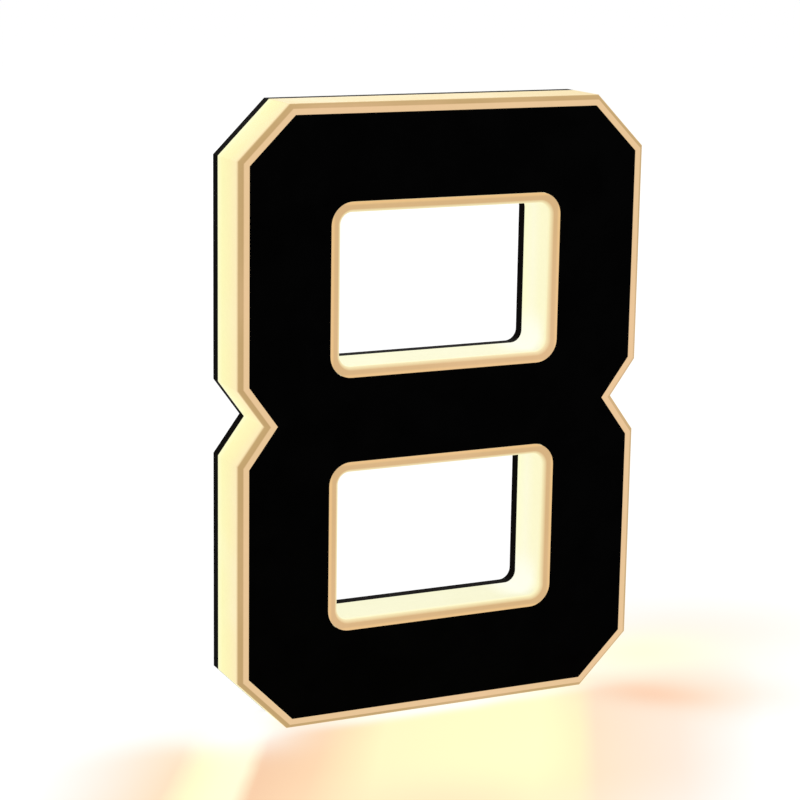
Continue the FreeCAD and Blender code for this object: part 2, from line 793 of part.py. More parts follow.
def make_terminal_block():
    """Moulded block with a bore through it for each lead's clamp and a well above it for the clamp's screw."""
    body = new_body("terminal_block")
    outline = flat_sketch(body, "terminal_outline", ZERO)
    draw_rectangle(outline, cell("terminal_length"), cell("terminal_width"))
    add_pad(body, outline, cell("terminal_height"))
    bores = cross_sketch(body, "terminal_bores", cell("terminal_length") / 2)
    bore_points = [(pole, cell("lead_height")) for pole in POLES]
    draw_circles(bores, bore_points, cell("clamp_radius") + cell("terminal_fit"))
    add_pocket(body, bores, cell("terminal_length"))
    wells = flat_sketch(body, "terminal_wells", cell("terminal_height"))
    well_points = [(ZERO, pole) for pole in POLES]
    draw_circles(wells, well_points, cell("terminal_screw_head_radius") + cell("terminal_fit"))
    add_pocket(body, wells, cell("terminal_height") - cell("lead_height"))
    return body


def make_terminal_clamps():
    body = new_body("terminal_clamps")
    tubes = cross_sketch(body, "clamp_tubes", -(cell("clamp_length") / 2))
    tube_points = [(pole, cell("lead_height")) for pole in POLES]
    draw_circles(tubes, tube_points, cell("clamp_radius"))
    draw_circles(tubes, tube_points, cell("clamp_bore_radius"))
    add_pad(body, tubes, cell("clamp_length"))
    taps = flat_sketch(body, "clamp_taps", CLAMP_TOP)
    draw_circles(taps, [(ZERO, pole) for pole in POLES], cell("terminal_screw_radius"))
    add_pocket(body, taps, cell("clamp_radius"))
    return body


def make_terminal_screws():
    body = new_body("terminal_screws")
    points = [(ZERO, pole) for pole in POLES]
    tip = cell("lead_height") + cell("clamp_bore_radius")
    shanks = flat_sketch(body, "terminal_shanks", tip)
    draw_circles(shanks, points, cell("terminal_screw_radius"))
    add_pad(body, shanks, SCREW_TOP - tip)
    head_base = SCREW_TOP - cell("terminal_screw_head_height")
    heads = flat_sketch(body, "terminal_heads", head_base)
    draw_circles(heads, points, cell("terminal_screw_head_radius"))
    add_pad(body, heads, cell("terminal_screw_head_height"))
    slots = flat_sketch(body, "terminal_slots", SCREW_TOP)
    for across, up in points:
        draw_rectangle(slots, cell("terminal_screw_head_radius") * 3, cell("terminal_slot_width"), across, up)
    add_pocket(body, slots, cell("terminal_slot_depth"))
    return body


# ---------------------------------------------------------------------------------------------------------------
# Leads
# ---------------------------------------------------------------------------------------------------------------


RIBBON_WIDTH = cell("strand_spacing") + cell("strand_width")
BEND_SHARE = 0.45


def lead_path(points):
    """The middle line of a flat lead's underside: straight runs joined by tangent arcs.

    A bend is drawn tighter where it would take more than its share of a run.
    """
    level = (cell("lead_thickness") / 2 - LEAD_LEVEL).number
    stops = [Vector(across, level, up) for across, up in points]
    edges = []
    reached = stops[0]
    for before, corner, after in zip(stops, stops[1:], stops[2:]):
        shorter = min((before - corner).Length, (after - corner).Length)
        towards = (before - corner).normalize()
        away = (after - corner).normalize()
        half_turn = (math.pi - towards.getAngle(away)) / 2
        radius = min(cell("lead_bend").number, BEND_SHARE * shorter / math.tan(half_turn))
        set_back = radius * math.tan(half_turn)
        inside = (towards + away).normalize()
        middle = corner + inside * (radius / math.cos(half_turn) - radius)
        enter, leave = corner + towards * set_back, corner + away * set_back
        edges.append(Part.LineSegment(reached, enter).toShape())
        edges.append(Part.Arc(enter, middle, leave).toShape())
        reached = leave
    edges.append(Part.LineSegment(reached, stops[-1]).toShape())
    return Part.Wire(edges)


def flat_lead(points, width):
    """A flat lead of an even width along a run of points."""
    path = lead_path(points)
    side = path.makeOffset2D(-width.number / 2, openResult=True)
    face = side.makeOffset2D(width.number, fill=True, openResult=True)
    thickness = cell("lead_thickness")
    strip = face.extrude(Vector(0, -thickness.number, 0))
    expected = path.Length * (width * thickness).number
    if not math.isclose(strip.Volume, expected, rel_tol=0.01):
        raise RuntimeError("a lead has the wrong volume")
    return strip


def add_leads(label, runs, width):
    """One piece made of flat leads of the same width, each along its own run."""
    part = doc.addObject("Part::Feature", label)
    part.Label = label
    part.Shape = Part.Compound([flat_lead([(across.number, up.number) for across, up in run], width) for run in runs])
    PARTS.append(part)


def make_module_links():
    """Twin ribbons along the strokes from each module to the next, clear of the studs and bosses."""
    x, z, half = STROKE_X, STROKE_Z, MODULE_HALF
    near, far = COUNTER_CENTRE - half, COUNTER_CENTRE + half
    corner = [(x, far), (x, CROSSING - x), (CROSSING - z, z), (half, z)]
    links = {
        "lead_upper_right_to_top": (1, 1),
        "lead_top_to_upper_left": (-1, 1),
        "lead_lower_left_to_bottom": (-1, -1),
        "lead_bottom_to_lower_right": (1, -1),
    }
    for label, (right, top) in links.items():
        add_leads(label, [[(across * right, up * top) for across, up in corner]], RIBBON_WIDTH)

    # Past the waist the ribbon keeps to the inner side of the screw boss.
    bend = cell("lead_bend")
    pass_by = WAIST_BOSS_SIDE - bend
    turn_in = near - bend
    turn_out = turn_in - (x - pass_by)
    upper = [(-x, near), (-x, turn_in), (-pass_by, turn_out)]
    lower = [(across, -up) for across, up in reversed(upper)]
    add_leads("lead_upper_left_to_lower_left", [upper + lower], RIBBON_WIDTH)


def make_terminal_leads():
    """Single strands out of the terminal block's clamps to the middle and the upper right modules."""
    pole, width, spacing = POLES[0], cell("strand_width"), cell("strand_spacing")
    beside = spacing / 2
    block_half = cell("terminal_length") / 2
    inside = cell("clamp_length") / 2 - cell("lead_insertion")

    # On its inner side both strands close up to their spacing at the middle module.
    gap = TERMINAL_X - block_half - MODULE_HALF
    run = [
        (MODULE_HALF, beside),
        (MODULE_HALF + gap / 4, beside),
        (MODULE_HALF + gap * 3 / 4, pole),
        (TERMINAL_X - inside, pole),
    ]
    add_leads("lead_terminal_to_middle", [run, [(across, -up) for across, up in run]], width)

    # On its outer side they turn up between the block and the waist boss, a third of that passage apart.
    passage = WAIST_BOSS_SIDE - TERMINAL_X - block_half
    end = COUNTER_CENTRE - MODULE_HALF
    bend = cell("lead_bend")
    runs = []
    for start, thirds, side, drop in ((pole, 1, -beside, ZERO), (-pole, 2, beside, spacing)):
        column = TERMINAL_X + block_half + passage * thirds / 3
        runs.append([
            (TERMINAL_X + inside, start),
            (column, start),
            (column, pole + bend - drop),
            (STROKE_X + side, end - bend - drop),
            (STROKE_X + side, end),
        ])
    add_leads("lead_terminal_to_upper_right", runs, width)


# ---------------------------------------------------------------------------------------------------------------
# Build, check and write
# ---------------------------------------------------------------------------------------------------------------

make_diffuser_body()
make_face_plate()
make_face_film()
make_gaskets()
make_back_plate()
make_plate_screws()
make_threaded_inserts()
make_wall_fixings()
make_grommet()
for module in MODULES:
    make_module(*module)
for maker in (make_terminal_block, make_terminal_clamps, make_terminal_screws):
    place_on_plate(maker(), TERMINAL_X, ZERO, 0)
make_module_links()
make_terminal_leads()
doc.recompute()

for item in doc.Objects:
    if "Invalid" in item.State or "Error" in item.State:
        raise RuntimeError(f"{item.Label} did not build: {item.State}")
for part in PARTS:
    if part.Shape.isNull() or not part.Shape.isValid():
        raise RuntimeError(f"{part.Label} has no valid shape")

os.makedirs("parts", exist_ok=True)
for part in PARTS:
    part.Shape.exportStep(f"parts/{part.Label}.step")
    solids = part.Shape.Solids
    print(f"{part.Label}: {len(solids)} solid(s), {part.Shape.Volume / 1000:.3f} cm3")
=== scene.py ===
import json
import math

import bmesh
import bpy
from mathutils import Matrix, Vector


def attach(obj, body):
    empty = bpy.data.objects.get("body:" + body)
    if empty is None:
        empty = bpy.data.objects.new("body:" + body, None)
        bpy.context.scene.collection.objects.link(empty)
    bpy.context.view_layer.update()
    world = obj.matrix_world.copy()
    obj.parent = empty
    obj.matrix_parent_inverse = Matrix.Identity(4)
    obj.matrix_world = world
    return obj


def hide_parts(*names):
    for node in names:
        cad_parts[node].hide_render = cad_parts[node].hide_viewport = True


# Illuminated house number, figure 8: a black face let into a glowing translucent body, on a black back plate that
# stands off the wall. X runs along the face, Z is up and Y runs into the wall, and the figure faces -Y. Lengths are
# written in millimetres, and MM makes them Blender's metres.

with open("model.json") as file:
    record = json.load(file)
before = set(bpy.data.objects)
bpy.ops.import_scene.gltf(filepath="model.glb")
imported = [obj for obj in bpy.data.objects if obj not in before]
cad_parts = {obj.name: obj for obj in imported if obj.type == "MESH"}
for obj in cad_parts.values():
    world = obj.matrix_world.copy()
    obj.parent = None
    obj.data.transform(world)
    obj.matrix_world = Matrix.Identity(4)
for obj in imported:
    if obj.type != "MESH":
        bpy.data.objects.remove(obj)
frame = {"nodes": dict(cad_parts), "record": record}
NODES = frame["nodes"]
SLOTS = {part["node"]: part["material_slot"] for part in frame["record"]["subparts"]}
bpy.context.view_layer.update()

MM = 0.001
HALF_HEIGHT = 100.0
PLATE_FRONT = 14.0
BODY_FRONT = 32.0
FLAT_EDGE_HALF = 54.0


# ---------------------------------------------------------------------------------------------------------------
# Node trees
# ---------------------------------------------------------------------------------------------------------------


def linear(red, green, blue):
    """A colour given on a 0 to 255 scale, as the shader wants it."""

    def channel(value):
        value /= 255
        return value / 12.92 if value <= 0.04045 else ((value + 0.055) / 1.055) ** 2.4

    return (channel(red), channel(green), channel(blue), 1.0)


class Value:
    """A number or vector socket of a node tree, with the usual arithmetic."""

    def __init__(self, tree, socket):
        self.tree = tree
        self.socket = socket

    def maths(self, operation, *others):
        node = self.tree.nodes.new("ShaderNodeMath")
        node.operation = operation
        for socket, value in zip(node.inputs, (self, *others)):
            feed(self.tree, socket, value)
        return Value(self.tree, node.outputs[0])

    def __add__(self, other):
        return self.maths("ADD", other)

    def __sub__(self, other):
        return self.maths("SUBTRACT", other)

    def __mul__(self, other):
        return self.maths("MULTIPLY", other)

    def __truediv__(self, other):
        return self.maths("DIVIDE", other)

    def size(self):
        return self.maths("ABSOLUTE")

    def at_least(self, other):
        return self.maths("MAXIMUM", other)

    def at_most(self, other):
        return self.maths("MINIMUM", other)

    def between(self, low, high):
        """0 at low, 1 at high, easing in and out."""
        node = self.tree.nodes.new("ShaderNodeMapRange")
        node.interpolation_type = "SMOOTHSTEP"
        for name, value in (("Value", self), ("From Min", low), ("From Max", high)):
            feed(self.tree, node.inputs[name], value)
        return Value(self.tree, node.outputs["Result"])

    def bell(self, middle, width):
        """1 at the middle, fading to each side."""
        away = (self - middle) / width
        return (away * away * -1.0).maths("EXPONENT")


def feed(tree, socket, value):
    """Joins a socket to another one, or sets its plain value."""
    if isinstance(value, Value):
        value = value.socket
    if isinstance(value, bpy.types.NodeSocket):
        tree.links.new(value, socket)
    else:
        socket.default_value = value


def add(tree, kind, inputs=(), **settings):
    """A node with its settings made and its inputs set or joined."""
    node = tree.nodes.new(kind)
    for name, value in settings.items():
        setattr(node, name, value)
    for key, value in dict(inputs).items():
        feed(tree, node.inputs[key], value)
    return node


def place(tree):
    """Object coordinates in millimetres: the vector and its three parts."""
    here = add(tree, "ShaderNodeTexCoord").outputs["Object"]
    scaled = add(tree, "ShaderNodeVectorMath", {0: here, "Scale": 1 / MM}, operation="SCALE").outputs[0]
    parts = add(tree, "ShaderNodeSeparateXYZ", {0: scaled}).outputs
    return scaled, [Value(tree, part) for part in parts]


def blend(tree, share, first, second):
    """Two colours mixed by a share."""
    node = add(tree, "ShaderNodeMix", data_type="RGBA")
    for key, value in ((0, share), (6, first), (7, second)):
        feed(tree, node.inputs[key], value)
    return node.outputs[2]


def ramp(tree, share, stops):
    """Colours along a share from 0 to 1: stops are (place, colour)."""
    node = add(tree, "ShaderNodeValToRGB", {0: share})
    points = node.color_ramp.elements
    while len(points) < len(stops):
        points.new(0.5)
    for point, (spot, colour) in zip(points, stops):
        point.position = spot
        point.color = colour
    return node.outputs["Color"]


def noise(tree, vector, scale, detail=2.0):
    """Noise of a scale given in cells per millimetre."""
    node = add(tree, "ShaderNodeTexNoise", {"Vector": vector, "Scale": scale, "Detail": detail})
    return Value(tree, node.outputs[0])


def new_group(name, inputs, outputs):
    """An empty shader group with named sockets; returns it with its input sockets by name and its output node."""
    group = bpy.data.node_groups.new(name, "ShaderNodeTree")
    for socket_name, kind, start in inputs:
        socket = group.interface.new_socket(name=socket_name, in_out="INPUT", socket_type=f"NodeSocket{kind}")
        if start is not None:
            socket.default_value = start
    for socket_name, kind in outputs:
        group.interface.new_socket(name=socket_name, in_out="OUTPUT", socket_type=f"NodeSocket{kind}")
    return group, group.nodes.new("NodeGroupInput").outputs, group.nodes.new("NodeGroupOutput")


def make_mottle_group():
    """Slow drift of colour and gloss with a fine grain, as on moulded, sprayed and printed surfaces."""
    group, given, out = new_group(
        "surface mottle",
        [("Place", "Vector", None), ("Colour", "Color", None), ("Drift Colour", "Color", None),
         ("Drift Scale", "Float", 0.1), ("Grain Scale", "Float", 3.0), ("Roughness", "Float", 0.5),
         ("Roughness Spread", "Float", 0.1)],
        [("Colour", "Color"), ("Roughness", "Float"), ("Height", "Float")],
    )
    drift = noise(group, given["Place"], given["Drift Scale"], 3.0)
    grain = noise(group, given["Place"], given["Grain Scale"], 2.0)
    share = drift.between(0.3, 0.7)
    feed(group, out.inputs["Colour"], blend(group, share.socket, given["Colour"], given["Drift Colour"]))
    spread = (drift + grain - 1.0) * given["Roughness Spread"]
    feed(group, out.inputs["Roughness"], spread + given["Roughness"])
    feed(group, out.inputs["Height"], grain)
    return group


def make_turning_group():
    """Fine rings along Y and a soft smear, as a lathe leaves them."""
    group, given, out = new_group(
        "turning marks",
        [("Place", "Vector", None), ("Pitch", "Float", 0.12), ("Roughness", "Float", 0.3)],
        [("Roughness", "Float"), ("Height", "Float")],
    )
    parts = add(group, "ShaderNodeSeparateXYZ", {0: given["Place"]}).outputs
    along = Value(group, parts[1])
    cut = (along / given["Pitch"] * math.tau).maths("SINE")
    smear = noise(group, given["Place"], 1.4, 3.0)
    feed(group, out.inputs["Height"], cut * 0.3 + smear)
    feed(group, out.inputs["Roughness"], (smear - 0.5) * 0.25 + given["Roughness"])
    return group


MOTTLE = make_mottle_group()
TURNING = make_turning_group()


def start_material(name, **sockets):
    """A material with its shader, whose plain values are set on the shader's own sockets."""
    material = bpy.data.materials.new(name)
    material.use_nodes = True
    tree = material.node_tree
    tree.nodes.clear()
    shader = add(tree, "ShaderNodeBsdfPrincipled")
    surface = add(tree, "ShaderNodeOutputMaterial")
    tree.links.new(shader.outputs[0], surface.inputs[0])
    for socket, value in sockets.items():
        shader.inputs[socket.replace("_", " ")].default_value = value
    return material, tree, shader


def add_bump(tree, shader, height, depth_mm):
    bump = add(tree, "ShaderNodeBump", {"Height": height, "Distance": depth_mm * MM})
    tree.links.new(bump.outputs[0], shader.inputs["Normal"])


def mottled(name, colour, drift, roughness, spread=0.1, drift_scale=0.08, grain=2.5, depth=0.01, **sockets):
    """A moulded, sprayed or printed finish."""
    material, tree, shader = start_material(name, **sockets)
    vector, _ = place(tree)
    values = {
        "Place": vector, "Colour": linear(*colour), "Drift Colour": linear(*drift), "Drift Scale": drift_scale,
        "Grain Scale": grain, "Roughness": roughness, "Roughness Spread": spread,
    }
    mottle = add(tree, "ShaderNodeGroup", node_tree=MOTTLE)
    for key, value in values.items():
        feed(tree, mottle.inputs[key], value)
    tree.links.new(mottle.outputs["Colour"], shader.inputs["Base Color"])
    tree.links.new(mottle.outputs["Roughness"], shader.inputs["Roughness"])
    add_bump(tree, shader, mottle.outputs["Height"], depth)
    return material


def turned_metal(name, colour, drift, roughness, pitch=0.12, depth=0.01):
    """A metal finish with turning marks."""
    material, tree, shader = start_material(name, Metallic=1.0)
    vector, _ = place(tree)
    marks = add(tree, "ShaderNodeGroup", node_tree=TURNING)
    for key, value in {"Place": vector, "Pitch": pitch, "Roughness": roughness}.items():
        feed(tree, marks.inputs[key], value)
    share = noise(tree, vector, 0.5, 3.0).between(0.35, 0.65)
    tree.links.new(blend(tree, share.socket, linear(*colour), linear(*drift)), shader.inputs["Base Color"])
    tree.links.new(marks.outputs["Roughness"], shader.inputs["Roughness"])
    add_bump(tree, shader, marks.outputs["Height"], depth)
    return material


# ---------------------------------------------------------------------------------------------------------------
# Finishes
# ---------------------------------------------------------------------------------------------------------------

# How the glow changes from the back plate (0) to the front rim (1). The bevel begins at 0.91 round the outside and at
# 0.94 round the counters.
OUTSIDE_GLOW = [
    (0.00, linear(255, 254, 204)),
    (0.20, linear(254, 249, 186)),
    (0.55, linear(254, 243, 184)),
    (0.84, linear(254, 237, 187)),
    (0.905, linear(240, 214, 166)),
    (0.925, linear(197, 166, 115)),
    (0.985, linear(195, 162, 112)),
    (1.00, linear(233, 198, 152)),
]
COUNTER_GLOW = [
    (0.00, linear(255, 255, 210)),
    (0.35, linear(254, 251, 218)),
    (0.65, linear(253, 249, 207)),
    (0.84, linear(253, 248, 206)),
    (0.93, linear(251, 244, 198)),
    (0.955, linear(244, 229, 180)),
    (0.985, linear(228, 201, 152)),
    (1.00, linear(215, 179, 130)),
]
RIM_LINE = linear(236, 195, 137)
PALE_GLOW = linear(254, 250, 232)
# The next two colours are painted shade: a dimmer glow for the walls that face up, which the lamps also light from
# above.
TOP_PAINTED_SHADE = linear(235, 214, 166)
SILL_PAINTED_SHADE = linear(241, 239, 205)
PEACH_GLOW = linear(240, 199, 158)
HOT_GLOW = linear(255, 255, 240)
COUNTER_MIDDLE, COUNTER_HALF_WIDTH, COUNTER_HALF_HEIGHT = 41.5, 37.0, 24.5
HOT_CORNERS = [(COUNTER_HALF_WIDTH, middle - COUNTER_HALF_HEIGHT) for middle in (COUNTER_MIDDLE, -COUNTER_MIDDLE)]

# Where the parts of the glow begin and end: as shares of the depth, or as millimetres where that is said.
ON_WALL = (0.93, 0.80)
ON_BEVEL = (0.90, 0.96)
RIM_LINE_DEPTH = (0.98, 1.0)
RIM_LINE_FROM_COUNTER_MM = (2.0, 2.9)
COUNTER_REACH_MM = (9.0, 6.0)
TOP_REACH_MM = (HALF_HEIGHT - 1.0, HALF_HEIGHT - 0.2)
TOP_ENDS_MM = (FLAT_EDGE_HALF + 0.3, FLAT_EDGE_HALF - 0.3)
SILL_REACH_MM = (2.0, 0.5)
HOT_REACH_MM = (15.0, 3.0)
HOT_DEPTH = (0.92, 0.55)

# How strongly each part shows, and how much of the glow's colour is given off and how much is paint.
# The first share is how strongly the painted shade on the walls that face up shows.
FACING_UP_SHARE = 0.9
PATCH_SHARE = 0.18
HOT_SHARE = 0.8
PEACH_SHARE = 0.3
GLOW_SHARE = 0.94
PAINT_SHARE = 0.10


def make_opal_acrylic():
    """Translucent body lit from inside: pale near the plate, warmer towards the bevel, tan on the bevel and rim."""
    material, tree, shader = start_material("lit opal acrylic", IOR=1.49, Specular_IOR_Level=0.015)
    vector, (x, y, z) = place(tree)
    depth = (y * -1.0 - PLATE_FRONT) / (BODY_FRONT - PLATE_FRONT)
    over_side = x.size() - COUNTER_HALF_WIDTH
    over_end = (z.size() - COUNTER_MIDDLE).size() - COUNTER_HALF_HEIGHT
    from_counter = over_side.at_least(over_end)

    # Round the counters the rim has a lighter line along the face.
    by_counter = ramp(tree, depth, COUNTER_GLOW)
    rim_line = from_counter.between(*RIM_LINE_FROM_COUNTER_MM) * depth.between(*RIM_LINE_DEPTH)
    by_counter = blend(tree, rim_line.socket, by_counter, RIM_LINE)
    near_counter = from_counter.between(*COUNTER_REACH_MM)
    glow = blend(tree, near_counter.socket, ramp(tree, depth, OUTSIDE_GLOW), by_counter)

    # Painted shade: the walls that face up get a dimmer glow colour, as the lamps also light them from above.
    on_wall = depth.between(*ON_WALL)
    between_cuts = x.size().between(*TOP_ENDS_MM)
    painted_top_shade = z.between(*TOP_REACH_MM) * between_cuts * on_wall * FACING_UP_SHARE
    glow = blend(tree, painted_top_shade.socket, glow, TOP_PAINTED_SHADE)
    sills = [(z - level).size().between(*SILL_REACH_MM) for _, level in HOT_CORNERS]
    painted_sill_shade = sills[0].at_least(sills[1]) * near_counter * on_wall * FACING_UP_SHARE
    glow = blend(tree, painted_sill_shade.socket, glow, SILL_PAINTED_SHADE)

    # The lit modules show through the walls as faint bright patches.
    patch = noise(tree, vector, 0.035, 1.0).between(0.45, 0.75) * on_wall * PATCH_SHARE
    glow = blend(tree, patch.socket, glow, PALE_GLOW)

    # Both counters are brightest in their lower right corner, where two modules meet.
    hot = [
        ((x - across) * (x - across) + (z - up) * (z - up)).maths("SQRT").between(*HOT_REACH_MM)
        for across, up in HOT_CORNERS
    ]
    in_corner = hot[0].at_least(hot[1]) * near_counter * depth.between(*HOT_DEPTH) * HOT_SHARE
    glow = blend(tree, in_corner.socket, glow, HOT_GLOW)

    # Bevel and rim drift between tan and peach along their length.
    drift = noise(tree, vector, 0.02, 1.0).between(0.4, 0.65) * depth.between(*ON_BEVEL)
    glow = blend(tree, (drift * PEACH_SHARE).socket, glow, PEACH_GLOW)

    # The sheet is slightly cloudy.
    share = noise(tree, vector, 0.6, 3.0) * 0.05 + 0.975
    cloud = add(tree, "ShaderNodeVectorMath", {0: glow, "Scale": share}, operation="SCALE").outputs[0]
    base = add(tree, "ShaderNodeVectorMath", {0: cloud, "Scale": PAINT_SHARE}, operation="SCALE").outputs[0]
    tree.links.new(base, shader.inputs["Base Color"])
    tree.links.new(cloud, shader.inputs["Emission Color"])
    shader.inputs["Emission Strength"].default_value = GLOW_SHARE
    tree.links.new((noise(tree, vector, 0.4, 4.0) * 0.12 + 0.38).socket, shader.inputs["Roughness"])
    add_bump(tree, shader, noise(tree, vector, 1.6, 3.0).socket, 0.006)
    return material


def make_phosphor():
    """Yellow resin over each lit chip, slightly uneven."""
    material, tree, shader = start_material("chip resin", Emission_Strength=1.2)
    vector, _ = place(tree)
    share = noise(tree, vector, 1.5, 3.0)
    colour = ramp(tree, share, [(0.2, linear(255, 226, 120)), (0.8, linear(255, 240, 190))])
    tree.links.new(colour, shader.inputs["Base Color"])
    tree.links.new(colour, shader.inputs["Emission Color"])
    tree.links.new((share * 0.2 + 0.4).socket, shader.inputs["Roughness"])
    return material


def make_lens():
    """Frosted clear lens over a lit chip."""
    material, tree, shader = start_material("frosted lens", IOR=1.49, Emission_Strength=0.7)
    vector, _ = place(tree)
    share = noise(tree, vector, 0.8, 3.0)
    colour = ramp(tree, share, [(0.2, linear(255, 246, 214)), (0.8, linear(255, 252, 236))])
    tree.links.new(colour, shader.inputs["Base Color"])
    tree.links.new(colour, shader.inputs["Emission Color"])
    tree.links.new((share * 0.25 + 0.2).socket, shader.inputs["Roughness"])
    return material


FINISHES = {
    "opal_acrylic": make_opal_acrylic(),
    "black_gloss": mottled(
        "black face", (3, 3, 3), (1, 1, 1), 0.42, spread=0.05, depth=0.003, Specular_IOR_Level=0.006),
    "white_film": mottled("white film", (244, 244, 242), (238, 238, 235), 0.6),
    "black_rubber": mottled("black rubber", (34, 33, 32), (27, 26, 26), 0.75, spread=0.12, depth=0.02),
    "black_matt": mottled(
        "black sprayed plate", (14, 11, 9), (10, 8, 7), 0.55, spread=0.14, grain=3.5, depth=0.02,
        Specular_IOR_Level=0.004),
    "stainless": turned_metal("stainless steel", (206, 205, 202), (186, 185, 182), 0.28),
    "brass": turned_metal("turned brass", (214, 178, 98), (196, 158, 82), 0.3),
    "black_aluminium": turned_metal(
        "black anodised sleeve", (46, 46, 47), (38, 38, 40), 0.38, pitch=0.2, depth=0.015),
    "foam_tape": mottled("foam tape", (226, 226, 221), (210, 210, 205), 0.9, grain=6.0, depth=0.05),
    "module_white": mottled("moulded white", (240, 240, 236), (232, 232, 227), 0.38, depth=0.01),
    "board_white": mottled("white solder mask", (236, 236, 228), (226, 227, 218), 0.3, depth=0.005),
    "phosphor": make_phosphor(),
    "lens_clear": make_lens(),
    "terminal_grey": mottled("moulded grey", (158, 160, 158), (148, 150, 149), 0.5, depth=0.015),
    "lead_jacket": mottled("lead jacket", (38, 38, 40), (30, 30, 32), 0.55, depth=0.01),
}

for node, item in NODES.items():
    item.data.materials.clear()
    item.data.materials.append(FINISHES[SLOTS[node]])


# ---------------------------------------------------------------------------------------------------------------
# Fixings seen from behind
# ---------------------------------------------------------------------------------------------------------------

STUD_ACROSS, STUD_UP = 46.0, 75.0
CORNER_SCREW_ACROSS, CORNER_SCREW_UP, MIDDLE_SCREW_ACROSS = 57.904, 86.904, 52.0
GROMMET_ACROSS = -32.75


def four_corners(across, up):
    return [(side * across, level * up) for side in (-1, 1) for level in (-1, 1)]


STUD_HOLES = four_corners(STUD_ACROSS, STUD_UP)
SCREW_HOLES = four_corners(CORNER_SCREW_ACROSS, CORNER_SCREW_UP) + [
    (-MIDDLE_SCREW_ACROSS, 0.0), (MIDDLE_SCREW_ACROSS, 0.0)]

SHARP_ON_TURNED = math.radians(32)
SHARP_ON_THREAD = math.radians(50)


def round_ring(radius):
    """The same distance from the axis in every direction."""
    return lambda turn: radius


def hex_ring(across_flats):
    """A hexagon's distance from its axis in a direction."""

    def distance(turn):
        from_flat = (turn + math.pi / 6) % (math.pi / 3) - math.pi / 6
        return across_flats / 2 / math.cos(from_flat)

    return distance


def turned(name, rings, sides=48, tube=False):
    """A piece about the Y axis from rings of (distance by direction, place along the axis), in millimetres."""
    shape = bmesh.new()
    turns = [math.tau * k / sides for k in range(sides)]
    loops = [
        [shape.verts.new((ring(turn) * math.cos(turn) * MM, along * MM, ring(turn) * math.sin(turn) * MM))
         for turn in turns]
        for ring, along in rings
    ]
    pairs = list(zip(loops, loops[1:])) + ([(loops[-1], loops[0])] if tube else [])
    for lower, upper in pairs:
        for k in range(sides):
            following = (k + 1) % sides
            shape.faces.new((lower[k], lower[following], upper[following], upper[k]))
    if not tube:
        for loop in (loops[0], loops[-1]):
            shape.faces.new(loop)
    bmesh.ops.recalc_face_normals(shape, faces=shape.faces)
    mesh = bpy.data.meshes.new(name)
    shape.to_mesh(mesh)
    shape.free()
    mesh.shade_smooth()
    mesh.set_sharp_from_angle(angle=SHARP_ON_TURNED)
    item = bpy.data.objects.new(name, mesh)
    bpy.context.scene.collection.objects.link(item)
    return item


def make_tree(name, sockets):
    """An empty geometry tree with named inputs and one geometry output."""
    tree = bpy.data.node_groups.new(name, "GeometryNodeTree")
    for socket_name, kind in sockets:
        tree.interface.new_socket(name=socket_name, in_out="INPUT", socket_type=f"NodeSocket{kind}")
    tree.interface.new_socket(name="Geometry", in_out="OUTPUT", socket_type="NodeSocketGeometry")
    given = tree.nodes.new("NodeGroupInput").outputs
    return tree, given, tree.nodes.new("NodeGroupOutput").inputs["Geometry"]


def end_tree(tree, shape, finish, out):
    """Makes the repeats real and gives them their finish."""
    real = add(tree, "GeometryNodeRealizeInstances", {0: shape}).outputs[0]
    dressed = add(tree, "GeometryNodeSetMaterial", {"Geometry": real, "Material": finish}).outputs[0]
    tree.links.new(dressed, out)


def make_repeat_tree():
    """The same fixing at every hole of a pattern, each turned by its own angle."""
    tree, given, out = make_tree(
        "fixing at each hole",
        [("Holes", "Geometry"), ("Fixing", "Object"), ("Finish", "Material"), ("Seed", "Int")],
    )
    fixing = add(tree, "GeometryNodeObjectInfo", {"Object": given["Fixing"]}).outputs["Geometry"]
    turn = add(tree, "FunctionNodeRandomValue", data_type="FLOAT")
    feed(tree, turn.inputs["Seed"], given["Seed"])
    angle = Value(tree, next(s for s in turn.outputs if s.type == "VALUE")) * math.tau
    turned_by = add(tree, "ShaderNodeCombineXYZ", {1: angle}).outputs[0]
    stood = add(tree, "GeometryNodeInstanceOnPoints", {"Points": given["Holes"], "Instance": fixing})
    feed(tree, stood.inputs["Rotation"], turned_by)
    end_tree(tree, stood.outputs[0], given["Finish"], out)
    return tree


END_SHARE = 0.00001
WELD_MM = 0.001


